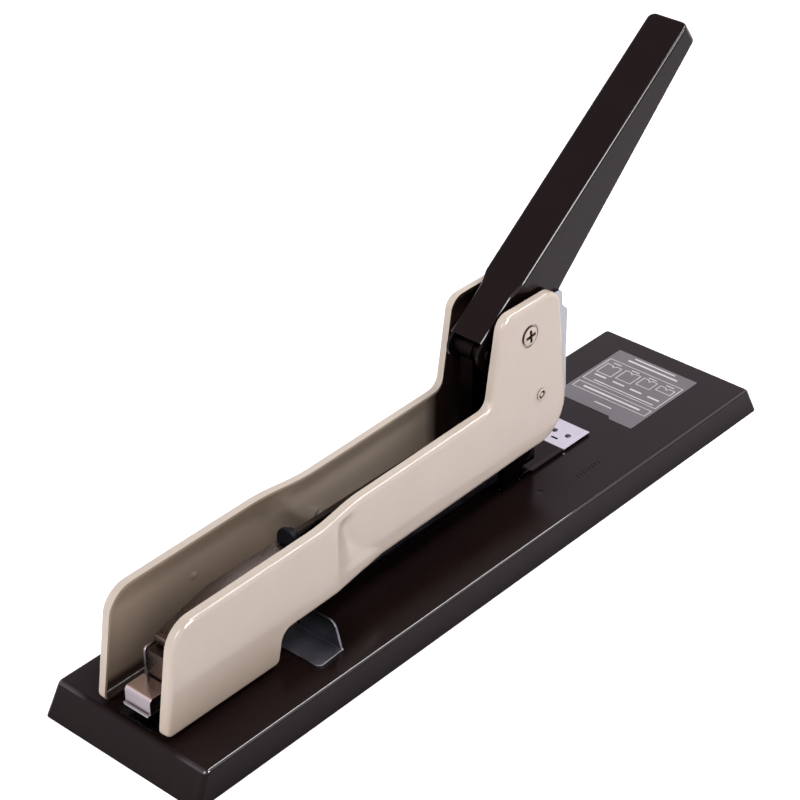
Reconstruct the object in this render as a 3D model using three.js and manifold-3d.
// A long-reach stapler: two pressed cheeks form a deep arm over a long sheet-steel base, and a
// channel handle works a driving lever between them.
// Lengths are in millimetres. +X points to the handle end, +Y to the far side and +Z up.
// The origin is the middle of the base, on the desk.
import * as THREE from "three";
import { mergeVertices } from "three/addons/utils/BufferGeometryUtils.js";
import Module from "manifold-3d";

const wasm = await Module();
wasm.setup();

// Clearances
const seatGap = 0.1; // between flat faces that rest on each other
const pieceGap = 0.3; // between pieces that pass or turn beside each other
const boreGap = 0.2; // round a pin in its hole
const overrun = 2; // how far every cut runs past what it cuts

// Base pan
const baseLength = 465;
const baseWidth = 106.6;
const deck = 18.28; // height of the top face
const baseSheet = 1.5;
const baseBend = 2;
const baseCorner = 2.6;
const endSlope = 8.92; // how far each end skirt leans out
const sideSlope = 1.3;
const footStand = 0.3; // gap between the skirt and the desk
const footRadius = 9;
const footTopRadius = 7;
const footRecessRadius = 3;
const footRecess = 2;
const footFromEnd = 27;
const footFromSide = 15;

// Stapling point, throat and pivots
const stapleInset = 28.8; // front edge of the base to the staple line
const stapleHalfWidth = 6.5;
const pivotReach = 257.2; // staple line to handle pivot
const pivotHeight = 100.42; // handle pivot over the deck
const magazinePivotBehind = 11.4; // magazine rivet behind the handle pivot
const magazinePivotHeight = 58.82;
const fulcrumReach = 133.7;
const fulcrumHeight = 33.7;

// Anvil
const anvilSheet = 1.2;
const anvilAhead = 17.3; // front of the plate before the staple line
const anvilBehind = 8.7;
const anvilHalfWidth = 13;
const anvilCorner = 3;
const crimpDepth = 0.5;
const crimpHalfLength = 1.2;
const crimpRib = 0.8;
const crimpOuter = 6.9;
const anvilRivetAhead = 4.3;
const anvilRivetSide = 10.6;
const smallShank = 1.5;
const smallHead = 2.2;
const smallHeadHeight = 0.7;

// Cheeks: a pair of pressed shells, mirrored about the middle plane
const cheekHalfWidth = 20.2; // over the outer faces at the rear
const cheekStep = 4.6; // how much wider the front part stands
const cheekSheet = 1.5;
const cheekBend = 2.2;
const cheekFlange = 5.3;
const cheekAhead = 19; // bottom front corner before the staple line
const cheekBottom = 2.4; // over the deck, at the front
const cheekFrontLean = 8.9;
const cheekFrontHeight = 63.27; // top front corner over the deck
const cheekDeepLength = 77.7; // length of the deep front part
const notchLean = 4.5;
const notchHeight = 21.4; // belly of the arm over the deck, at the notch
const bellyRise = 4.1;
const creaseReach = 103.7; // staple line to the front of the pressed step
const stepTopLength = 6.5;
const stepMidLength = 10;
const stepLowLength = 21;
const stepBottomLength = 36;
const stepMidDrop = 18.4;
const stepLowDrop = 29.4;
const armTopHeight = 65.2; // arm's top edge over the deck at the step
const armTopRise = 2.9;
const earFrontAhead = 30.4; // foot of the ear before the handle pivot
const earLean = 8.3;
const earTopHeight = 19; // top of the ear over the handle pivot
const earRearBehind = 25;
const earWaistBehind = 32.5;
const earWaistDrop = 34.7;
const earHeelBehind = 37;
const earHeelHeight = 26.9;
const cornerSmall = 3.6;
const cornerNotch = 7;
const cornerFrontTop = 16;
const cornerEarFront = 9;
const cornerEarRear = 12;
const cornerWaist = 60;
const cornerHeel = 22;

// Bracket
const bracketSheet = 1.6;
const bracketHalfWidth = 14.6;
const bracketBend = 3;
const bracketAhead = 3.5; // front of the ears before the handle pivot
const bracketBehind = 41;
const bracketNeck = 7;
const bracketWaistHeight = 36.7; // over the deck
const bracketTopOver = 9.5; // over the handle pivot
const bracketTongue = 69.7; // end of the tongue behind the handle pivot
const tongueHalfWidth = 10;
const tongueStart = 46;
const bracketRivetBehind = 58.5;
const bracketRivetSide = 4.7;
const tongueSlotBehind = 52.1;
const tongueSlotHalfLength = 2.3;
const tongueSlotHalfWidth = 0.8;

// Pivot screw, collars, rivets and pins across the arm
const screwShank = 3;
const screwHead = 7.4;
const screwHeadHeight = 2.6;
const screwRecessReach = 3; // the cross recess, from its middle to the end of a wing
const screwRecessHalfWidth = 0.7;
const screwRecessDepth = 1.5;
const nutSlotHalfWidth = 0.8;
const collarRadius = 5.5;
const magazineShank = 2.5;
const magazineHead = 3.6;
const magazineHeadHeight = 1.1;
const fulcrumRadius = 3;
const anchorRadius = 2;
const anchorBehind = 22.5; // spring anchor pin behind the handle pivot
const anchorDrop = 18.7;

// Handle channel, in its own frame: X along the web, Z out of the web, origin on the pivot
const handleAngle = 36.68; // degrees above the horizontal
const handleLength = 189.2; // pivot to tip
const handleHalfWidth = 12.7;
const handleNeckHalfWidth = 10.5;
const handleSheet = 1.5;
const handleBend = 2;
const handleTipCorner = 6;
const webOffset = 21; // outer face of the web from the pivot
const webFootAhead = 20.5;
const handleTipDepth = 13;
const handleRootDepth = 31;
const handleRootReach = 38.6;
const handleNeckStart = 27;
const handleNeckEnd = 36;
const flangeLobe = 14; // flange edge below the pivot
const flangeNoseRadius = 8;
const linkPinAhead = 21.65;
const linkPinUp = 10.27;
const bushRadius = 4.3;

// Link and driving lever
const linkPinRadius = 2.5;
const linkEyeRadius = 6;
const linkWaist = 4;
const linkHalfThickness = 4;
const linkSlotPlay = 1;
const leverPinHeight = 41.72; // lower link pin over the deck
const leverHalfWidth = 6.1;
const leverSheet = 1.5;
const leverTop = 46.22; // over the deck
const leverFlange = 10.5;
const leverFront = 40.7; // staple line to the bend of the nose
const leverNoseAhead = 4.7; // staple line to the front of the nose
const leverNoseRear = 13.7;
const leverNoseTop = 37.2;
const leverNoseBottom = 31.6;
const leverBossRadius = 7;
const leverEyeRadius = 6;
const leverWebGap = 12; // rear end of the lever's web before the lower link pin
const stemSlotFront = 88.7; // staple line to the slot for the pusher's stem
const stemSlotLength = 38;
const stemSlotHalfWidth = 3.2;

// Magazine
const magazineGap = 4.52; // over the anvil
const magazineHalfWidth = 8.7;
const magazineSheet = 1.2;
const magazineBend = 2;
const magazineLip = 13.3; // lip before the staple line
const magazineWallStart = 0.7;
const magazineFrontWall = 31.4; // height of the guide walls over the deck
const magazineWall = 20.7;
const magazineFrontLength = 43.7;
const magazineRampLength = 8;
const magazineTail = 11.1; // floor's end behind the magazine rivet
const magazineEarRadius = 9;
const magazineEarFoot = 12.9; // foot of the ears before the magazine rivet
const exitHalfLength = 1.05;
const exitHalfWidth = 7;
const noseAhead = 14.3;
const noseRear = 1.4;
const noseTop = 16;
const noseSlit = 0.7;
const noseBend = 2.5;

// Driver
const bladeHalfThickness = 0.4;
const bladeBottom = 16.3;
const driverTop = 31;
const hammerBottom = 26.3;
const hammerLength = 16.2;
const hammerHalfWidth = 6.9;

// Staples, guide rod and pusher
const staplesFront = 0.7; // behind the staple line
const staplesRear = 91.2;
const stapleWire = 0.8;
const staplesTop = 15.22;
const rodRadius = 2;
const rodHeight = 11.3;
const rodFootStart = 1.1;
const rodFootLength = 3.6;
const rodFootHalfWidth = 5.4;
const rodFootTop = 13.6;
const rodStopAhead = 64.9; // rod stop before the magazine rivet
const rodStopLength = 3;
const rodStopTop = 17.7;
const pusherLength = 12;
const pusherHalfWidth = 7.1;
const pusherTop = 16.2;
const stemLength = 3;
const stemHalfWidth = 2.5;
const stemTop = 52.5;
const knobBottom = 48;
const knobRadius = 9.3;
const knobLength = 5.4;
const knobRimHeight = 1.2;

// Springs
const pusherCoilRadius = 3.5;
const pusherWire = 0.8;
const pusherTurns = 24;
const returnCoilRadius = 6.2;
const returnWire = 1.2;
const returnHalfWidth = 5.5;
const returnTurns = 6;
const returnLegReach = 30;

// Paper guide
const guideSheet = 1.2;
const guideReach = 88.3; // staple line to the guide's face
const guideFoot = 17.6;
const guideFootHalfWidth = 40;
const guideFootCorner = 3;
const guideWingInner = 10;
const guideWingTop = 16.2;
const guideWingTopHalfWidth = 33.7;
const guideWingFootHalfWidth = 38.8;
const guideSlotStart = 53.7; // staple line to the slot in the base
const guideSlotEnd = 6; // the slot's end before the bracket
const guideSlotHalfWidth = 3;
const guideStudAhead = 8.6;
const guideStudRadius = 2.6;
const guideClipHalfLength = 6;
const guideClipHalfWidth = 9;

// Shares of the size that they follow
const slotEndShare = 0.96; // a slot's end radius, of its half-width
const headRimShare = 0.25; // straight rim of a screw head, of its height
const headShoulderShare = 0.7; // height of the shoulder, of the head's height
const shoulderRadiusShare = 0.85; // radius at the shoulder, of the head's radius
const nutSlotShare = 0.2; // depth of the nut's slot, of its height
const pinHeadShare = 1.4; // head of a link pin, of the pin
const linkBossShare = 0.8; // boss beside the link's upper eye, of the eye
const slotFlatShare = 0.98; // half-height of the link's slot, of its bore
const cornerShare = 0.9; // a round corner, of the radius that it turns round
const eyeCornerShare = 0.7;
const lobeReachShare = 1.2; // front of the lobe, of its depth

// Smoothness
const cornerSteps = 5;
const bendSteps = 3;
const roundSides = 20;
const pinSides = 16;
const rivetSides = 12;
const coilStepsPerTurn = 8;
const coilSides = 5;
const leverSteps = 3;
const channelSteps = 4;
const blockSteps = 2;

// Places that follow from the sizes above
const stapleLine = stapleInset - baseLength / 2;
const pivotX = stapleLine + pivotReach;
const pivotZ = deck + pivotHeight;
const magazinePivotX = pivotX + magazinePivotBehind;
const magazinePivotZ = deck + magazinePivotHeight;
const fulcrumX = stapleLine + fulcrumReach;
const fulcrumZ = deck + fulcrumHeight;
const handleTilt = THREE.MathUtils.degToRad(handleAngle);
const linkPinX = pivotX - linkPinAhead * Math.cos(handleTilt) - linkPinUp * Math.sin(handleTilt);
const linkPinZ = pivotZ - linkPinAhead * Math.sin(handleTilt) + linkPinUp * Math.cos(handleTilt);
const leverPinX = linkPinX;
const leverPinZ = deck + leverPinHeight;
const leverWebEnd = leverPinX - leverWebGap;
const bracketFrontX = pivotX - bracketAhead - collarRadius;
const anchorX = pivotX + anchorBehind;
const anchorZ = pivotZ - anchorDrop;
const anvilTop = deck + seatGap + anvilSheet;
const floorBottom = anvilTop + magazineGap - seatGap;
const floorTop = floorBottom + magazineSheet;
const cheekInner = cheekHalfWidth - cheekSheet;
const rodZ = deck + rodHeight;
const rodStart = stapleLine + rodFootStart;
const rodStopX = magazinePivotX - rodStopAhead;
const pusherFrontX = stapleLine + staplesRear + pieceGap;
const guideFaceX = stapleLine + guideReach;
const quarterTurn = Math.PI / 2;
const fullTurn = Math.PI * 2;

// A triangle mesh becomes a solid, and is turned right side out if its faces point inwards.
function solidOf(positions, faces) {
  const vertProperties = new Float32Array(positions);
  const made = new wasm.Manifold(
    new wasm.Mesh({ numProp: 3, vertProperties, triVerts: new Uint32Array(faces) }),
  );
  if (made.volume() > 0) return made;
  const turned = [];
  for (let i = 0; i < faces.length; i += 3) turned.push(faces[i], faces[i + 2], faces[i + 1]);
  return new wasm.Manifold(
    new wasm.Mesh({ numProp: 3, vertProperties, triVerts: new Uint32Array(turned) }),
  );
}

// A three.js geometry becomes a solid, placed by an optional matrix.
function solidFrom(geometry, matrix = new THREE.Matrix4()) {
  const bare = geometry.clone().applyMatrix4(matrix);
  bare.deleteAttribute("normal");
  bare.deleteAttribute("uv");
  const merged = mergeVertices(bare);
  return solidOf(merged.attributes.position.array, merged.index.array);
}

function geometryOf(solid) {
  const { vertProperties, triVerts } = solid.getMesh();
  const geometry = new THREE.BufferGeometry();
  geometry.setAttribute("position", new THREE.BufferAttribute(vertProperties, 3));
  geometry.setIndex(new THREE.BufferAttribute(triVerts, 1));
  geometry.computeVertexNormals();
  return geometry;
}

const joined = (...solids) => solids.reduce((sum, solid) => sum.add(solid));
const cut = (solid, ...tools) => tools.reduce((rest, tool) => rest.subtract(tool), solid);

function box([x0, x1], [y0, y1], [z0, z1]) {
  const geometry = new THREE.BoxGeometry(x1 - x0, y1 - y0, z1 - z0);
  geometry.translate((x0 + x1) / 2, (y0 + y1) / 2, (z0 + z1) / 2);
  return solidFrom(geometry);
}

// One corner of an outline: its place, its radius and how far it is shifted out of the plane.
const corner = (x, y, radius = 0, shift = 0, name = "") => ({ x, y, radius, shift, name });

// The corners of an outline moved inwards. The outline runs anticlockwise.
function insetCorners(corners, inset) {
  const edge = (from, to) => new THREE.Vector2(to.x - from.x, to.y - from.y).normalize();
  return corners.map((at, i) => {
    const before = edge(corners.at(i - 1), at);
    const after = edge(at, corners[(i + 1) % corners.length]);
    const inward = new THREE.Vector2(-before.y - after.y, before.x + after.x);
    inward.multiplyScalar(inset / (1 + before.dot(after)));
    const turn = Math.sign(before.cross(after));
    const radius = at.radius > 0 ? at.radius - turn * inset : 0;
    return { ...at, x: at.x + inward.x, y: at.y + inward.y, radius };
  });
}

// The points of an outline, with its round corners as arcs. z holds the shift of each point.
function outlinePoints(corners, steps = cornerSteps) {
  const points = [];
  corners.forEach((at, i) => {
    const centre = new THREE.Vector2(at.x, at.y);
    if (at.radius <= 0) {
      points.push(Object.assign(new THREE.Vector3(at.x, at.y, at.shift), { name: at.name }));
      return;
    }
    const from = corners.at(i - 1);
    const to = corners[(i + 1) % corners.length];
    const back = new THREE.Vector2(from.x, from.y).sub(centre).normalize();
    const ahead = new THREE.Vector2(to.x, to.y).sub(centre).normalize();
    const half = back.angleTo(ahead) / 2;
    const start = centre.clone().addScaledVector(back, at.radius / Math.tan(half));
    const hub = back.clone().add(ahead).normalize().multiplyScalar(at.radius / Math.sin(half));
    hub.add(centre);
    const arm = start.sub(hub);
    const side = Math.sign(ahead.cross(back));
    for (let k = 0; k <= steps; k++) {
      const turn = side * (Math.PI - 2 * half) * (k / steps);
      const x = hub.x + arm.x * Math.cos(turn) - arm.y * Math.sin(turn);
      const y = hub.y + arm.x * Math.sin(turn) + arm.y * Math.cos(turn);
      points.push(Object.assign(new THREE.Vector3(x, y, at.shift), { name: at.name }));
    }
  });
  return points;
}

const shapeOf = (corners, steps) =>
  new THREE.Shape(outlinePoints(corners, steps).map(({ x, y }) => new THREE.Vector2(x, y)));

// Prisms on an outline: upright ones stand on an XY outline, cross ones run along Y from an XZ
// outline, and long ones run along X from a YZ outline.
function uprightPrism(corners, bottom, top, steps) {
  const geometry = new THREE.ExtrudeGeometry(shapeOf(corners, steps), {
    depth: top - bottom,
    bevelEnabled: false,
  });
  return solidFrom(geometry, new THREE.Matrix4().makeTranslation(0, 0, bottom));
}

function crossPrism(corners, near, far, steps) {
  const geometry = new THREE.ExtrudeGeometry(shapeOf(corners, steps), {
    depth: far - near,
    bevelEnabled: false,
  });
  const turned = new THREE.Matrix4().makeRotationX(quarterTurn);
  return solidFrom(geometry, turned.setPosition(0, far, 0));
}

function longPrism(corners, front, rear, steps) {
  const geometry = new THREE.ExtrudeGeometry(shapeOf(corners, steps), {
    depth: rear - front,
    bevelEnabled: false,
  });
  const turned = new THREE.Matrix4().makeBasis(
    new THREE.Vector3(0, 1, 0),
    new THREE.Vector3(0, 0, 1),
    new THREE.Vector3(1, 0, 0),
  );
  return solidFrom(geometry, turned.setPosition(front, 0, 0));
}

const rectangle = (x0, x1, y0, y1, radius = 0) => [
  corner(x0, y0, radius),
  corner(x1, y0, radius),
  corner(x1, y1, radius),
  corner(x0, y1, radius),
];

// Round bars along Y, X and Z.
function crossBar(x, z, radius, near, far, sides = pinSides) {
  const geometry = new THREE.CylinderGeometry(radius, radius, far - near, sides);
  return solidFrom(geometry, new THREE.Matrix4().makeTranslation(x, (near + far) / 2, z));
}

function longBar(z, radius, front, rear, sides = pinSides) {
  const geometry = new THREE.CylinderGeometry(radius, radius, rear - front, sides);
  const turned = new THREE.Matrix4().makeRotationZ(-quarterTurn);
  return solidFrom(geometry, turned.setPosition((front + rear) / 2, 0, z));
}

function uprightBar(x, y, radius, bottom, top, sides = pinSides) {
  const geometry = new THREE.CylinderGeometry(radius, radius, top - bottom, sides);
  const turned = new THREE.Matrix4().makeRotationX(quarterTurn);
  return solidFrom(geometry, turned.setPosition(x, y, (bottom + top) / 2));
}

// A turned piece: the profile holds [radius, height] pairs from axis to axis.
function turnedPiece(profile, sides) {
  const points = profile.map(([radius, height]) => new THREE.Vector2(radius, height));
  return new THREE.LatheGeometry(points, sides);
}

const alongY = (x, z) => new THREE.Matrix4().makeTranslation(x, 0, z);
const alongZ = (x, y) => new THREE.Matrix4().makeRotationX(quarterTurn).setPosition(x, y, 0);

// A rivet with a domed head at each end of its grip.
function rivetProfile(gripStart, gripEnd, shank, head, headHeight) {
  const crown = head / 2;
  return [
    [0, gripStart - headHeight],
    [crown, gripStart - headHeight],
    [head, gripStart - headHeight / 2],
    [head, gripStart],
    [shank, gripStart],
    [shank, gripEnd],
    [head, gripEnd],
    [head, gripEnd + headHeight / 2],
    [crown, gripEnd + headHeight],
    [0, gripEnd + headHeight],
  ];
}

// A shell pressed from sheet: a flat web whose whole rim is turned over into a flange. The rim
// follows cornersAt(depth), and place puts a point of the rim, at a depth under the web, in
// space. creases holds further points of the web and the polygons that they divide it into.
function pressedShell({ cornersAt, bend, sheet, depth, place, creases }) {
  const levels = [];
  for (let k = 0; k <= bendSteps; k++) {
    const turn = (k / bendSteps) * quarterTurn;
    levels.push([bend * (1 - Math.sin(turn)), bend * (1 - Math.cos(turn))]);
  }
  levels.push([0, depth], [sheet, depth]);
  for (let k = bendSteps; k >= 0; k--) {
    const turn = (k / bendSteps) * quarterTurn;
    const reach = bend - sheet;
    levels.push([bend - reach * Math.sin(turn), bend - reach * Math.cos(turn)]);
  }
  const rings = levels.map(([inset, low]) => outlinePoints(insetCorners(cornersAt(low), inset)));
  const count = rings[0].length;
  const positions = [];
  rings.forEach((ring, i) => ring.forEach((at) => positions.push(...place(at, levels[i][1]))));
  const faces = [];
  for (let i = 0; i + 1 < rings.length; i++) {
    for (let j = 0; j < count; j++) {
      const next = (j + 1) % count;
      const [a, b] = [i * count + j, i * count + next];
      faces.push(a, a + count, b + count, a, b + count, b);
    }
  }
  const webs = [
    { ring: rings[0], first: 0, low: 0, outer: true },
    { ring: rings.at(-1), first: (rings.length - 1) * count, low: sheet, outer: false },
  ];
  for (const { ring, first, low, outer } of webs) {
    const inner = creases ? creases.points : [];
    const extra = positions.length / 3;
    inner.forEach((at) => positions.push(...place(at, low)));
    const all = [...ring, ...inner];
    const polygons = creases ? creases.polygons(ring) : [ring.map((at, i) => i)];
    for (const polygon of polygons) {
      const flat = polygon.map((i) => new THREE.Vector2(all[i].x, all[i].y));
      const indexOf = (i) => (polygon[i] < count ? first + polygon[i] : extra + polygon[i] - count);
      for (const [a, b, c] of THREE.ShapeUtils.triangulateShape(flat, [])) {
        const area = flat[b].clone().sub(flat[a]).cross(flat[c].clone().sub(flat[a]));
        const upright = area > 0 === outer;
        faces.push(indexOf(a), indexOf(upright ? b : c), indexOf(upright ? c : b));
      }
    }
  }
  return solidOf(positions, faces);
}

// A round wire along a list of points, closed at both ends.
function wireAlong(points, radius) {
  const positions = [];
  const faces = [];
  const side = new THREE.Vector3();
  points.forEach((at, i) => {
    const ahead = points[Math.min(i + 1, points.length - 1)].clone();
    const along = ahead.sub(points[Math.max(i - 1, 0)]).normalize();
    if (i === 0) side.set(along.y, along.z, along.x).cross(along).normalize();
    side.addScaledVector(along, -side.dot(along)).normalize();
    const up = along.clone().cross(side);
    for (let k = 0; k < coilSides; k++) {
      const turn = (k / coilSides) * fullTurn;
      const rim = at.clone().addScaledVector(side, radius * Math.cos(turn));
      rim.addScaledVector(up, radius * Math.sin(turn));
      positions.push(rim.x, rim.y, rim.z);
    }
  });
  for (let i = 0; i + 1 < points.length; i++) {
    for (let k = 0; k < coilSides; k++) {
      const [a, b] = [i * coilSides + k, i * coilSides + ((k + 1) % coilSides)];
      faces.push(a, b, b + coilSides, a, b + coilSides, a + coilSides);
    }
  }
  const last = (points.length - 1) * coilSides;
  for (let k = 1; k + 1 < coilSides; k++) {
    faces.push(0, k + 1, k, last, last + k, last + k + 1);
  }
  return solidOf(positions, faces);
}

// The least gap between parts of a wire that lie half a turn or more apart.
function leastGap(points, radius) {
  let least = Infinity;
  const apart = coilStepsPerTurn / 2;
  for (let i = 0; i < points.length; i++) {
    for (let j = i + apart; j < points.length; j++) {
      least = Math.min(least, points[i].distanceTo(points[j]) - 2 * radius);
    }
  }
  return least;
}

// Base pan with its end skirts leaning out, a slot for the paper guide and rivet holes.
function basePan() {
  const skirt = deck - footStand;
  const cornersAt = (depth) => {
    const fall = 1 - depth / skirt;
    const halfLength = baseLength / 2 - endSlope * fall;
    const halfWidth = baseWidth / 2 - sideSlope * fall;
    return rectangle(-halfLength, halfLength, -halfWidth, halfWidth, baseCorner);
  };
  const pan = pressedShell({
    cornersAt,
    bend: baseBend,
    sheet: baseSheet,
    depth: skirt,
    place: (at, depth) => [at.x, at.y, deck - depth],
  });
  const below = deck - baseSheet - overrun;
  const slot = rectangle(
    stapleLine + guideSlotStart,
    bracketFrontX - guideSlotEnd,
    -guideSlotHalfWidth,
    guideSlotHalfWidth,
    guideSlotHalfWidth * slotEndShare,
  );
  const hole = smallShank + boreGap;
  return cut(
    pan,
    uprightPrism(slot, below, deck + overrun),
    ...rivetPlaces.map(([x, y]) => uprightBar(x, y, hole, below, deck + overrun, rivetSides)),
  );
}

const rivetPlaces = [
  [stapleLine - anvilRivetAhead, -anvilRivetSide],
  [stapleLine - anvilRivetAhead, anvilRivetSide],
  [pivotX + bracketRivetBehind, -bracketRivetSide],
  [pivotX + bracketRivetBehind, bracketRivetSide],
];

function foot(x, y) {
  const top = deck - baseSheet - seatGap;
  const profile = [
    [0, footRecess],
    [footRecessRadius, footRecess],
    [footRecessRadius, 0],
    [footRadius, 0],
    [footRadius, footRecess],
    [footTopRadius, top],
    [0, top],
  ];
  return solidFrom(turnedPiece(profile, roundSides), alongZ(x, y));
}

// A rivet that holds a plate of the given thickness down on the deck.
function deckRivet([x, y], plate) {
  const grip = [deck - baseSheet - seatGap, deck + seatGap + plate + seatGap];
  const profile = rivetProfile(...grip, smallShank, smallHead, smallHeadHeight);
  return solidFrom(turnedPiece(profile, rivetSides), alongZ(x, y));
}

// Anvil plate with its pair of crimping grooves.
function anvilPlate() {
  const front = stapleLine - anvilAhead;
  const rear = stapleLine + anvilBehind;
  const bottom = deck + seatGap;
  const plan = rectangle(front, rear, -anvilHalfWidth, anvilHalfWidth, anvilCorner);
  const long = [stapleLine - crimpHalfLength, stapleLine + crimpHalfLength];
  const high = [anvilTop - crimpDepth, anvilTop + overrun];
  const hole = smallShank + boreGap;
  return cut(
    uprightPrism(plan, bottom, anvilTop),
    box(long, [crimpRib, crimpOuter], high),
    box(long, [-crimpOuter, -crimpRib], high),
    ...rivetPlaces
      .slice(0, 2)
      .map(([x, y]) => uprightBar(x, y, hole, bottom - overrun, anvilTop + overrun, rivetSides)),
  );
}

// The rim of a cheek, anticlockwise as seen from the near side: x along the arm, y its height.
function cheekCorners() {
  const frontX = stapleLine - cheekAhead;
  const creaseX = stapleLine + creaseReach;
  const notchX = frontX + cheekDeepLength;
  const bellyZ = deck + notchHeight;
  const armTopZ = deck + armTopHeight;
  const heelX = pivotX + earHeelBehind;
  const heelZ = deck + earHeelHeight;
  const bellyAt = (x) => bellyZ + (bellyRise * (x - notchX)) / (heelX - notchX);
  const rampX = creaseX + stepBottomLength;
  const earX = pivotX - earFrontAhead;
  const earTopZ = pivotZ + earTopHeight;
  return [
    corner(frontX, deck + cheekBottom, cornerSmall, cheekStep),
    corner(notchX, deck + cheekBottom, cornerSmall, cheekStep),
    corner(notchX + notchLean, bellyZ, cornerNotch, cheekStep),
    corner(creaseX, bellyAt(creaseX), 0, cheekStep, "crease foot"),
    corner(rampX, bellyAt(rampX), 0, 0, "ramp foot"),
    corner(heelX, heelZ, cornerHeel),
    corner(pivotX + earWaistBehind, pivotZ - earWaistDrop, cornerWaist),
    corner(pivotX + earRearBehind, earTopZ, cornerEarRear),
    corner(earX + earLean, earTopZ, cornerEarFront),
    corner(earX, armTopZ + armTopRise, cornerNotch),
    corner(creaseX + stepTopLength, armTopZ, 0, 0, "ramp top"),
    corner(creaseX, armTopZ, 0, cheekStep, "crease top"),
    corner(frontX + cheekFrontLean, deck + cheekFrontHeight, cornerFrontTop, cheekStep),
  ];
}

// The pressed step of the web: a straight crease in front, and a curved edge behind it.
function stepCreases(corners) {
  const creaseX = stapleLine + creaseReach;
  const topZ = deck + armTopHeight;
  const levels = [
    [stepLowLength, topZ - stepLowDrop],
    [stepMidLength, topZ - stepMidDrop],
  ];
  const points = [];
  for (const [length, z] of levels) {
    points.push(new THREE.Vector3(creaseX, z, cheekStep));
    points.push(new THREE.Vector3(creaseX + length, z, 0));
  }
  return {
    points,
    polygons(ring) {
      const count = ring.length;
      const at = (name) => ring.findIndex((point) => point.name === name);
      const around = (from, to) => {
        const list = [from];
        while (list.at(-1) !== to) list.push((list.at(-1) + 1) % count);
        return list;
      };
      const front = [count, count + 2];
      const rear = [count + 1, count + 3];
      const creaseLine = [at("crease foot"), ...front, at("crease top")];
      const rampLine = [at("ramp foot"), ...rear, at("ramp top")];
      const strips = creaseLine
        .slice(1)
        .map((high, i) => [creaseLine[i], rampLine[i], rampLine[i + 1], high]);
      return [
        [...around(at("crease top"), at("crease foot")), ...front],
        [...around(at("ramp foot"), at("ramp top")), ...rear.toReversed()],
        ...strips,
      ];
    },
  };
}

// side is -1 for the near cheek and 1 for the far one.
function cheek(side) {
  const corners = cheekCorners();
  const shell = pressedShell({
    cornersAt: () => corners,
    bend: cheekBend,
    sheet: cheekSheet,
    depth: cheekFlange,
    place: (at, depth) => [at.x, side * (cheekHalfWidth + at.z - depth), at.y],
    creases: stepCreases(corners),
  });
  const far = cheekHalfWidth + overrun;
  return cut(
    shell,
    crossBar(pivotX, pivotZ, screwShank + boreGap, -far, far),
    crossBar(magazinePivotX, magazinePivotZ, magazineShank + boreGap, -far, far),
  );
}

// Bracket: a folded U that stands on the deck, with a tongue behind it.
function bracket() {
  const bottom = deck + seatGap;
  const frontX = bracketFrontX;
  const rearX = pivotX + bracketBehind;
  const topZ = pivotZ + bracketTopOver;
  const tongueX = pivotX + bracketTongue;
  const outer = [
    corner(-bracketHalfWidth, bottom, bracketBend),
    corner(bracketHalfWidth, bottom, bracketBend),
    corner(bracketHalfWidth, topZ + overrun),
    corner(-bracketHalfWidth, topZ + overrun),
  ];
  const halfInner = bracketHalfWidth - bracketSheet;
  const inner = [
    corner(-halfInner, bottom + bracketSheet, bracketBend - bracketSheet),
    corner(halfInner, bottom + bracketSheet, bracketBend - bracketSheet),
    corner(halfInner, topZ + overrun * 2),
    corner(-halfInner, topZ + overrun * 2),
  ];
  const long = [frontX - overrun, tongueX + overrun];
  const longer = [long[0] - overrun, long[1] + overrun];
  const section = cut(longPrism(outer, ...long), longPrism(inner, ...longer));
  const footTop = bottom + bracketSheet;
  const waistZ = deck + bracketWaistHeight;
  const side = [
    corner(frontX, bottom - overrun),
    corner(tongueX, bottom - overrun),
    corner(tongueX, footTop + seatGap),
    corner(rearX - bracketNeck + bracketBend, footTop + seatGap, bracketBend),
    corner(rearX - bracketNeck, footTop + bracketBend, bracketBend),
    corner(rearX, waistZ, cornerHeel),
    corner(rearX, topZ, cornerSmall),
    corner(frontX, topZ, cornerEarFront),
  ];
  const wide = bracketHalfWidth + overrun;
  const beside = [pivotX + tongueStart, tongueX + overrun * 2];
  const low = [bottom - overrun, footTop + overrun];
  const slotX = pivotX + tongueSlotBehind;
  return cut(
    section.intersect(crossPrism(side, -wide, wide)),
    box(beside, [tongueHalfWidth, wide], low),
    box(beside, [-wide, -tongueHalfWidth], low),
    box(
      [slotX - tongueSlotHalfWidth, slotX + tongueSlotHalfWidth],
      [-tongueSlotHalfLength, tongueSlotHalfLength],
      low,
    ),
    crossBar(pivotX, pivotZ, screwShank + boreGap, -wide, wide),
    crossBar(magazinePivotX, magazinePivotZ, magazineShank + boreGap, -wide, wide),
    crossBar(anchorX, anchorZ, anchorRadius + boreGap, -wide, wide),
    ...rivetPlaces
      .slice(2)
      .map(([x, y]) => uprightBar(x, y, smallShank + boreGap, ...low, rivetSides)),
  );
}

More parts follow.
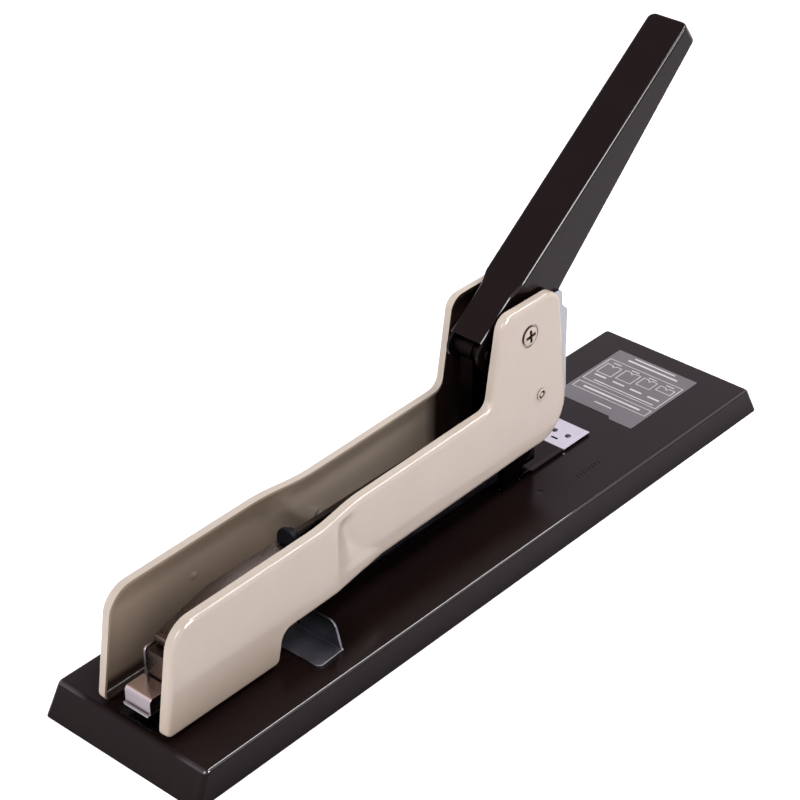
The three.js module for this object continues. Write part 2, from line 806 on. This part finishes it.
// The pivot screw enters from the near side, and a slotted cap nut closes the far side.
function pivotScrew() {
  const seat = cheekHalfWidth + seatGap;
  const profile = [
    [0, -seat - screwHeadHeight],
    [screwHead / 2, -seat - screwHeadHeight],
    [screwHead * shoulderRadiusShare, -seat - screwHeadHeight * headShoulderShare],
    [screwHead, -seat - screwHeadHeight * headRimShare],
    [screwHead, -seat],
    [screwShank, -seat],
    [screwShank, seat + screwHeadHeight / 2],
    [0, seat + screwHeadHeight / 2],
  ];
  const body = solidFrom(turnedPiece(profile, roundSides), alongY(pivotX, pivotZ));
  const top = -seat - screwHeadHeight;
  const recess = [top - overrun, top + screwRecessDepth];
  const around = (middle, half) => [middle - half, middle + half];
  return cut(
    body,
    box(around(pivotX, screwRecessReach), recess, around(pivotZ, screwRecessHalfWidth)),
    box(around(pivotX, screwRecessHalfWidth), recess, around(pivotZ, screwRecessReach)),
  );
}

function pivotNut() {
  const seat = cheekHalfWidth + seatGap;
  const top = seat + screwHeadHeight;
  const bore = screwShank + boreGap;
  const floor = seat + screwHeadHeight / 2 + pieceGap;
  const profile = [
    [0, floor],
    [bore, floor],
    [bore, seat],
    [screwHead, seat],
    [screwHead, seat + screwHeadHeight * headRimShare],
    [screwHead * shoulderRadiusShare, seat + screwHeadHeight * headShoulderShare],
    [screwHead / 2, top],
    [0, top],
  ];
  const body = solidFrom(turnedPiece(profile, roundSides), alongY(pivotX, pivotZ));
  const across = [pivotX - screwHead, pivotX + screwHead];
  const high = [pivotZ - nutSlotHalfWidth, pivotZ + nutSlotHalfWidth];
  const deep = [top - screwHeadHeight * nutSlotShare, top + overrun];
  return cut(body, box(across, deep, high));
}

function collar(x, z, bore, inner, outer, side) {
  const [near, far] = side < 0 ? [-outer, -inner] : [inner, outer];
  return cut(
    crossBar(x, z, collarRadius, near, far, roundSides),
    crossBar(x, z, bore + boreGap, near - overrun, far + overrun),
  );
}

function magazineRivet() {
  const seat = cheekHalfWidth + seatGap;
  const profile = rivetProfile(-seat, seat, magazineShank, magazineHead, magazineHeadHeight);
  return solidFrom(turnedPiece(profile, pinSides), alongY(magazinePivotX, magazinePivotZ));
}

// Handle channel, in the handle's own frame.
function handleChannel() {
  const start = -(webFootAhead + flangeNoseRadius * 2 + overrun * 2);
  const deep = webOffset + flangeLobe + flangeNoseRadius;
  const neck = handleNeckHalfWidth;
  const wide = handleHalfWidth;
  const corners = [
    corner(start, -neck, handleBend * 2),
    corner(handleNeckStart, -neck, handleTipCorner),
    corner(handleNeckEnd, -wide, handleTipCorner),
    corner(handleLength, -wide, handleTipCorner),
    corner(handleLength, wide, handleTipCorner),
    corner(handleNeckEnd, wide, handleTipCorner),
    corner(handleNeckStart, neck, handleTipCorner),
    corner(start, neck, handleBend * 2),
  ];
  const shell = pressedShell({
    cornersAt: () => corners,
    bend: handleBend,
    sheet: handleSheet,
    depth: deep,
    place: (at, depth) => [at.x, at.y, webOffset - depth],
  });
  const noseX = -linkPinAhead - flangeNoseRadius;
  const side = [
    corner(noseX, linkPinUp - flangeNoseRadius, flangeNoseRadius),
    corner(-flangeLobe, -flangeLobe, flangeLobe * cornerShare),
    corner(flangeLobe * lobeReachShare, -flangeLobe, flangeLobe),
    corner(handleRootReach, webOffset - handleRootDepth, handleTipCorner),
    corner(handleLength + overrun, webOffset - handleTipDepth),
    corner(handleLength + overrun, webOffset + overrun),
    corner(-webFootAhead, webOffset + overrun),
    corner(-webFootAhead, linkPinUp + flangeNoseRadius + seatGap),
    corner(noseX, linkPinUp + flangeNoseRadius, flangeNoseRadius * cornerShare),
  ];
  const far = wide + overrun;
  return cut(
    shell.intersect(crossPrism(side, -far, far)),
    crossBar(0, 0, bushRadius + boreGap, -far, far, roundSides),
    crossBar(-linkPinAhead, linkPinUp, linkPinRadius + boreGap, -far, far),
  );
}

// A bush on the pivot screw carries the handle between the bracket's ears.
function handleBush() {
  const far = bracketHalfWidth - bracketSheet - seatGap;
  return cut(
    crossBar(0, 0, bushRadius, -far, far, roundSides),
    crossBar(0, 0, screwShank + boreGap, -far - overrun, far + overrun),
  );
}

function linkPinUpper() {
  const seat = handleNeckHalfWidth + seatGap;
  const room = bracketHalfWidth - bracketSheet - pieceGap;
  const head = linkPinRadius * pinHeadShare;
  const profile = rivetProfile(-seat, seat, linkPinRadius, head, room - seat);
  return solidFrom(turnedPiece(profile, pinSides), alongY(-linkPinAhead, linkPinUp));
}

// The link hangs from the handle's nose and lifts the rear of the driving lever. Its lower eye is
// a short slot, because the two pins swing on different arcs.
function liftLink() {
  const rise = linkPinZ - leverPinZ;
  const flat = linkEyeRadius + linkSlotPlay;
  const boss = handleNeckHalfWidth - handleSheet - pieceGap;
  const eyes = joined(
    crossBar(linkPinX, linkPinZ, linkEyeRadius, -linkHalfThickness, linkHalfThickness, roundSides),
    crossBar(leverPinX, leverPinZ, flat, -linkHalfThickness, linkHalfThickness, roundSides),
    box(
      [linkPinX - linkWaist, linkPinX + linkWaist],
      [-linkHalfThickness, linkHalfThickness],
      [leverPinZ, leverPinZ + rise],
    ),
    crossBar(linkPinX, linkPinZ, linkEyeRadius * linkBossShare, -boss, boss, roundSides),
  );
  const far = handleHalfWidth;
  const bore = linkPinRadius + boreGap;
  const slotBore = linkPinRadius + pieceGap;
  const slotFlat = slotBore * slotFlatShare;
  return cut(
    eyes,
    crossBar(linkPinX, linkPinZ, bore, -far, far),
    crossBar(leverPinX - linkSlotPlay, leverPinZ, slotBore, -far, far),
    crossBar(leverPinX + linkSlotPlay, leverPinZ, slotBore, -far, far),
    box(
      [leverPinX - linkSlotPlay, leverPinX + linkSlotPlay],
      [-far, far],
      [leverPinZ - slotFlat, leverPinZ + slotFlat],
    ),
  );
}

// Driving lever: an inverted channel on the fulcrum pin, with its nose over the driver.
function drivingLever() {
  const top = deck + leverTop;
  const low = top - leverFlange;
  const noseX = stapleLine + leverNoseAhead;
  const frontX = stapleLine + leverFront;
  const endX = leverPinX + leverEyeRadius;
  const bossLow = fulcrumZ - leverBossRadius;
  const side = [
    corner(noseX, deck + leverNoseBottom, leverSheet),
    corner(stapleLine + leverNoseRear, deck + leverNoseBottom, leverSheet),
    corner(frontX + leverFlange, low, leverFlange),
    corner(fulcrumX - leverBossRadius * 2, low, leverBossRadius),
    corner(fulcrumX - leverBossRadius, bossLow, leverBossRadius * cornerShare),
    corner(fulcrumX + leverBossRadius, bossLow, leverBossRadius * cornerShare),
    corner(fulcrumX + leverBossRadius * 2, low, leverBossRadius),
    corner(endX, leverPinZ - leverEyeRadius, leverEyeRadius * eyeCornerShare),
    corner(endX, top + leverSheet, leverEyeRadius * eyeCornerShare),
    corner(leverWebEnd, top, leverFlange),
    corner(frontX, top, leverFlange),
    corner(noseX, deck + leverNoseTop, leverSheet),
  ];
  const half = leverHalfWidth;
  const body = crossPrism(side, -half, half, leverSteps);
  const inner = half - leverSheet;
  const lowered = (height) => (height > top - leverSheet ? height - leverSheet : height);
  const webBottom = side.map((at) => ({ ...at, y: lowered(at.y) }));
  const under = crossPrism(webBottom, -inner, inner, leverSteps);
  const slot = [stapleLine + stemSlotFront, stapleLine + stemSlotFront + stemSlotLength];
  const noseCut = [noseX - overrun, stapleLine + leverNoseRear + leverFlange];
  return cut(
    body,
    under.intersect(box([frontX, endX + overrun], [-inner, inner], [low - deck, top + overrun])),
    box(slot, [-stemSlotHalfWidth, stemSlotHalfWidth], [top - leverFlange, top + overrun]),
    box([leverWebEnd, endX + overrun], [-inner, inner], [low - deck, top + leverFlange]),
    box(noseCut, [-inner, inner], [low - deck, deck + leverNoseBottom - overrun]),
    crossBar(fulcrumX, fulcrumZ, fulcrumRadius + boreGap, -half - overrun, half + overrun),
    crossBar(leverPinX, leverPinZ, linkPinRadius + boreGap, -half - overrun, half + overrun),
  );
}

function linkPinLower() {
  const seat = leverHalfWidth + seatGap;
  const head = linkPinRadius * pinHeadShare;
  const profile = rivetProfile(-seat, seat, linkPinRadius, head, smallHeadHeight);
  return solidFrom(turnedPiece(profile, pinSides), alongY(leverPinX, leverPinZ));
}

// Magazine: a long channel that hangs on the rear rivet, with high guide walls at the driver.
function magazineChannel() {
  const lipX = stapleLine - magazineLip;
  const wallX = stapleLine - magazineWallStart;
  const magazineRearX = magazinePivotX + magazineTail;
  const topZ = magazinePivotZ + magazineEarRadius;
  const half = magazineHalfWidth;
  const inner = half - magazineSheet;
  const outerSection = [
    corner(-half, floorBottom, magazineBend),
    corner(half, floorBottom, magazineBend),
    corner(half, topZ + overrun),
    corner(-half, topZ + overrun),
  ];
  const innerSection = [
    corner(-inner, floorTop, magazineBend - magazineSheet),
    corner(inner, floorTop, magazineBend - magazineSheet),
    corner(inner, topZ + overrun * 2),
    corner(-inner, topZ + overrun * 2),
  ];
  const long = [lipX - overrun, magazineRearX + overrun];
  const section = cut(
    longPrism(outerSection, ...long, bendSteps),
    longPrism(innerSection, long[0] - overrun, long[1] + overrun, bendSteps),
  );
  const wallZ = deck + magazineWall;
  const guideZ = deck + magazineFrontWall;
  const rampX = stapleLine + magazineFrontLength;
  const side = [
    corner(lipX, floorBottom - overrun),
    corner(magazineRearX, floorBottom - overrun),
    corner(magazineRearX, floorTop + magazineEarRadius, magazineEarRadius),
    corner(magazinePivotX + magazineEarRadius, topZ, magazineEarRadius * cornerShare),
    corner(magazinePivotX - magazineEarRadius, topZ, magazineEarRadius * cornerShare),
    corner(magazinePivotX - magazineEarFoot, wallZ, magazineEarRadius),
    corner(rampX + magazineRampLength, wallZ, magazineRampLength / 2),
    corner(rampX, guideZ, magazineRampLength / 2),
    corner(wallX, guideZ, magazineBend),
    corner(wallX, floorTop + seatGap),
    corner(lipX, floorTop + seatGap),
  ];
  const wide = half + overrun;
  return cut(
    section.intersect(crossPrism(side, -wide, wide, channelSteps)),
    crossBar(magazinePivotX, magazinePivotZ, magazineShank + boreGap, -wide, wide),
    box(
      [stapleLine - exitHalfLength, stapleLine + exitHalfLength],
      [-exitHalfWidth, exitHalfWidth],
      [floorBottom - overrun, floorTop + overrun],
    ),
  );
}

// The nose cover closes the front of the driver's lane, over the magazine's lip.
function noseCover() {
  const frontX = stapleLine - noseAhead;
  const rearX = stapleLine - noseRear;
  const topZ = deck + noseTop;
  const bottomZ = floorTop + seatGap;
  const profile = [
    corner(frontX, bottomZ),
    corner(rearX, bottomZ),
    corner(rearX, topZ),
    corner(frontX, topZ, noseBend),
  ];
  const inside = [
    corner(frontX + magazineSheet, bottomZ - overrun),
    corner(rearX + overrun, bottomZ - overrun),
    corner(rearX + overrun, topZ - magazineSheet),
    corner(frontX + magazineSheet, topZ - magazineSheet, noseBend - magazineSheet),
  ];
  const half = magazineHalfWidth;
  const inner = half - magazineSheet;
  const frontWall = [frontX - overrun, frontX + magazineSheet * 2];
  return cut(
    crossPrism(profile, -half, half),
    crossPrism(inside, -inner, inner),
    box(frontWall, [-inner, inner], [bottomZ - overrun, bottomZ + noseSlit]),
  );
}

function stapleStrip() {
  const long = [stapleLine + staplesFront, stapleLine + staplesRear];
  const top = deck + staplesTop;
  const bottom = floorTop + pieceGap;
  const inner = stapleHalfWidth - stapleWire;
  return cut(
    box(long, [-stapleHalfWidth, stapleHalfWidth], [bottom, top]),
    box([long[0] - overrun, long[1] + overrun], [-inner, inner], [bottom - overrun, top - stapleWire]),
  );
}

// Guide rod for the pusher, with the foot that stands inside the staples.
function guideRod() {
  const foot = [rodStart, rodStart + rodFootLength];
  const high = [floorTop + seatGap, deck + rodFootTop];
  return joined(
    box(foot, [-rodFootHalfWidth, rodFootHalfWidth], high),
    longBar(rodZ, rodRadius, rodStart + rodFootLength / 2, rodStopX + rodStopLength + rodRadius),
  );
}

function rodStop() {
  const inner = magazineHalfWidth - magazineSheet - seatGap;
  const long = [rodStopX, rodStopX + rodStopLength];
  const section = rectangle(-inner, inner, floorTop + seatGap, deck + rodStopTop, magazineBend);
  return cut(
    longPrism(section, ...long, bendSteps),
    longBar(rodZ, rodRadius + boreGap, long[0] - overrun, long[1] + overrun),
  );
}

// Pusher block with the stem that carries its thumb tab up through the lever's slot.
function pusherBlock() {
  const rear = pusherFrontX + pusherLength;
  const bottom = floorTop + pieceGap;
  const top = deck + pusherTop;
  const stem = [pusherFrontX, pusherFrontX + stemLength];
  return cut(
    joined(
      box([pusherFrontX, rear], [-pusherHalfWidth, pusherHalfWidth], [bottom, top]),
      box(stem, [-stemHalfWidth, stemHalfWidth], [bottom, deck + stemTop]),
    ),
    longBar(rodZ, rodRadius + boreGap, pusherFrontX - overrun, rear + overrun),
  );
}

// Thumb tab: a half-round plate across the arm, with a raised rim, over the lever.
function pusherKnob() {
  const middle = pusherFrontX + stemLength / 2;
  const bottom = deck + knobBottom;
  const front = middle - knobLength / 2;
  const rear = middle + knobLength / 2;
  const arch = (radius) => {
    const shape = new THREE.Shape();
    shape.moveTo(-radius, 0);
    shape.lineTo(radius, 0);
    shape.absarc(0, 0, radius, 0, Math.PI, false);
    return shape;
  };
  const place = (x) =>
    new THREE.Matrix4()
      .makeBasis(new THREE.Vector3(0, 1, 0), new THREE.Vector3(0, 0, 1), new THREE.Vector3(1, 0, 0))
      .setPosition(x, 0, bottom);
  const slab = (radius, from, to) =>
    solidFrom(
      new THREE.ExtrudeGeometry(arch(radius), {
        depth: to - from,
        bevelEnabled: false,
        curveSegments: roundSides,
      }),
      place(from),
    );
  const stem = [middle - stemLength / 2 - seatGap, middle + stemLength / 2 + seatGap];
  const half = stemHalfWidth + seatGap;
  return cut(
    slab(knobRadius, front, rear),
    slab(knobRadius - knobRimHeight, front - overrun, front + knobRimHeight / 2),
    box(stem, [-half, half], [bottom - overrun, deck + stemTop + seatGap]),
  );
}

// Pusher spring round the guide rod.
function pusherSpringPoints() {
  const wire = pusherWire / 2;
  const front = pusherFrontX + pusherLength + pieceGap + wire;
  const rear = rodStopX - pieceGap - wire;
  const steps = pusherTurns * coilStepsPerTurn;
  const points = [];
  for (let i = 0; i <= steps; i++) {
    const turn = (i / coilStepsPerTurn) * fullTurn;
    const y = pusherCoilRadius * Math.cos(turn);
    const z = rodZ + pusherCoilRadius * Math.sin(turn);
    points.push(new THREE.Vector3(front + ((rear - front) * i) / steps, y, z));
  }
  return points;
}

// Return spring round the handle's bush: one leg lies on the anchor pin, and the other one
// reaches under the handle's web.
function returnSpringPoints() {
  const wire = returnWire / 2;
  const rest = anchorRadius + pieceGap + wire;
  const heel = new THREE.Vector2(anchorBehind, -anchorDrop);
  heel.add(new THREE.Vector2(anchorDrop, anchorBehind).setLength(rest));
  const under = webOffset - handleSheet - pieceGap - returnWire;
  const toe = new THREE.Vector2(returnLegReach, under).rotateAround(new THREE.Vector2(), handleTilt);
  const swing = (end) => Math.acos(returnCoilRadius / end.length());
  const first = heel.angle() - fullTurn + swing(heel);
  const last = toe.angle() - swing(toe) + (returnTurns - 1) * fullTurn;
  const steps = Math.ceil(((last - first) / fullTurn) * coilStepsPerTurn);
  const place = (x, z, y) => new THREE.Vector3(pivotX + x, y, pivotZ + z);
  const points = [place(heel.x, heel.y, -returnHalfWidth)];
  for (let i = 0; i <= steps; i++) {
    const turn = first + ((last - first) * i) / steps;
    const y = returnHalfWidth * ((2 * i) / steps - 1);
    points.push(place(returnCoilRadius * Math.cos(turn), returnCoilRadius * Math.sin(turn), y));
  }
  points.push(place(toe.x, toe.y, returnHalfWidth));
  return points;
}

// Paper guide: a folded plate that slides on the deck, with a wing on each side of the magazine.
function paperGuide() {
  const bottom = deck + seatGap;
  const frontX = guideFaceX - guideFoot;
  const rearX = guideFaceX + guideSheet;
  const plan = [
    corner(frontX, -guideFootHalfWidth, guideFootCorner),
    corner(rearX, -guideWingFootHalfWidth),
    corner(rearX, guideWingFootHalfWidth),
    corner(frontX, guideFootHalfWidth, guideFootCorner),
  ];
  const wing = (side) => {
    const outline = [
      corner(side * guideWingInner, bottom),
      corner(side * guideWingFootHalfWidth, bottom),
      corner(side * guideWingTopHalfWidth, deck + guideWingTop, guideFootCorner),
      corner(side * guideWingInner, deck + guideWingTop),
    ];
    return longPrism(side > 0 ? outline : outline.toReversed(), guideFaceX, rearX);
  };
  const studX = guideFaceX - guideStudAhead;
  const through = [bottom - overrun, bottom + guideSheet + overrun];
  return cut(
    joined(uprightPrism(plan, bottom, bottom + guideSheet), wing(-1), wing(1)),
    uprightBar(studX, 0, smallShank + boreGap, ...through, rivetSides),
  );
}

// The clip under the base holds the guide down, and its boss runs in the base's slot.
function guideClip() {
  const studX = guideFaceX - guideStudAhead;
  const top = deck - baseSheet - seatGap;
  const plan = rectangle(
    studX - guideClipHalfLength,
    studX + guideClipHalfLength,
    -guideClipHalfWidth,
    guideClipHalfWidth,
    guideFootCorner,
  );
  const hole = smallShank + boreGap;
  return cut(
    joined(
      uprightPrism(plan, top - guideSheet, top),
      uprightBar(studX, 0, guideStudRadius, top - guideSheet / 2, deck),
    ),
    uprightBar(studX, 0, hole, top - guideSheet - overrun, deck + overrun, rivetSides),
  );
}

function guideRivet() {
  const studX = guideFaceX - guideStudAhead;
  const grip = [deck - baseSheet - seatGap * 2 - guideSheet, deck + seatGap * 2 + guideSheet];
  const profile = rivetProfile(...grip, smallShank, smallHead, smallHeadHeight);
  return solidFrom(turnedPiece(profile, rivetSides), alongZ(studX, 0));
}

function driverBlade() {
  const half = bladeHalfThickness;
  const width = stapleHalfWidth - seatGap;
  return box(
    [stapleLine - half, stapleLine + half],
    [-width, width],
    [deck + bladeBottom, deck + driverTop],
  );
}

function driverBlock() {
  const front = stapleLine + bladeHalfThickness + seatGap;
  const plan = rectangle(
    front,
    front + hammerLength,
    -hammerHalfWidth,
    hammerHalfWidth,
    magazineSheet,
  );
  return uprightPrism(plan, deck + hammerBottom, deck + driverTop, blockSteps);
}

// Finishes: colour, roughness and metalness.
const finishes = {
  darkPaint: [0x2b2023, 0.35, 0.1],
  beigePaint: [0xcfc2b4, 0.3, 0.05],
  plated: [0xb9bcc4, 0.25, 0.9],
  steel: [0x8f9299, 0.4, 0.9],
  blackSteel: [0x1b1b1e, 0.5, 0.4],
  rubber: [0x151515, 0.9, 0],
  blackPlastic: [0x101013, 0.4, 0],
};

const stapler = new THREE.Group();
stapler.name = "long_reach_stapler";
const handleGroup = new THREE.Group();
handleGroup.position.set(pivotX, 0, pivotZ);
handleGroup.rotation.y = -handleTilt;
stapler.add(handleGroup);

function addPart(name, solid, finish, group = stapler) {
  const [color, roughness, metalness] = finishes[finish];
  const material = new THREE.MeshStandardMaterial({ color, roughness, metalness });
  material.name = finish;
  const mesh = new THREE.Mesh(geometryOf(solid), material);
  mesh.name = name;
  group.add(mesh);
}

addPart("base_pan", basePan(), "darkPaint");
for (const [end, endSign] of [["front", -1], ["rear", 1]]) {
  for (const [side, sideSign] of [["near", -1], ["far", 1]]) {
    const x = endSign * (baseLength / 2 - footFromEnd);
    const y = sideSign * (baseWidth / 2 - footFromSide);
    addPart(`foot_${end}_${side}`, foot(x, y), "rubber");
  }
}
addPart("anvil_plate", anvilPlate(), "plated");
addPart("anvil_rivet_near", deckRivet(rivetPlaces[0], anvilSheet), "steel");
addPart("anvil_rivet_far", deckRivet(rivetPlaces[1], anvilSheet), "steel");
addPart("bracket", bracket(), "plated");
addPart("bracket_rivet_near", deckRivet(rivetPlaces[2], bracketSheet), "steel");
addPart("bracket_rivet_far", deckRivet(rivetPlaces[3], bracketSheet), "steel");
addPart("cheek_near", cheek(-1), "beigePaint");
addPart("cheek_far", cheek(1), "beigePaint");
addPart("pivot_screw", pivotScrew(), "beigePaint");
addPart("pivot_nut", pivotNut(), "beigePaint");
addPart("magazine_rivet", magazineRivet(), "beigePaint");
for (const [side, sign] of [["near", -1], ["far", 1]]) {
  const outer = [bracketHalfWidth + seatGap, cheekInner - seatGap];
  const inner = [magazineHalfWidth + seatGap, bracketHalfWidth - bracketSheet - seatGap];
  const pivot = collar(pivotX, pivotZ, screwShank, ...outer, sign);
  const magazineOuter = collar(magazinePivotX, magazinePivotZ, magazineShank, ...outer, sign);
  const magazineInner = collar(magazinePivotX, magazinePivotZ, magazineShank, ...inner, sign);
  addPart(`pivot_collar_${side}`, pivot, "steel");
  addPart(`magazine_outer_collar_${side}`, magazineOuter, "steel");
  addPart(`magazine_inner_collar_${side}`, magazineInner, "steel");
}
const fulcrumEnd = cheekInner - seatGap;
addPart("fulcrum_pin", crossBar(fulcrumX, fulcrumZ, fulcrumRadius, -fulcrumEnd, fulcrumEnd), "steel");
const anchorEnd = bracketHalfWidth - seatGap;
addPart("spring_anchor_pin", crossBar(anchorX, anchorZ, anchorRadius, -anchorEnd, anchorEnd), "steel");
addPart("handle_channel", handleChannel(), "darkPaint", handleGroup);
addPart("handle_bush", handleBush(), "steel", handleGroup);
addPart("link_pin_upper", linkPinUpper(), "steel", handleGroup);
addPart("lift_link", liftLink(), "blackSteel");
addPart("driving_lever", drivingLever(), "steel");
addPart("link_pin_lower", linkPinLower(), "steel");
addPart("driver_blade", driverBlade(), "steel");
addPart("driver_block", driverBlock(), "blackSteel");
addPart("magazine_channel", magazineChannel(), "plated");
addPart("nose_cover", noseCover(), "plated");
addPart("staple_strip", stapleStrip(), "plated");
addPart("guide_rod", guideRod(), "steel");
addPart("rod_stop", rodStop(), "steel");
addPart("pusher_block", pusherBlock(), "blackSteel");
addPart("pusher_knob", pusherKnob(), "blackPlastic");
addPart("paper_guide", paperGuide(), "plated");
addPart("guide_clip", guideClip(), "steel");
addPart("guide_rivet", guideRivet(), "steel");

const springs = [
  ["pusher_spring", pusherSpringPoints(), pusherWire / 2],
  ["return_spring", returnSpringPoints(), returnWire / 2],
];
for (const [name, points, radius] of springs) {
  console.log(`${name}: least gap to itself ${leastGap(points, radius).toFixed(2)} mm`);
  addPart(name, wireAlong(points, radius), "steel");
}

export default stapler;
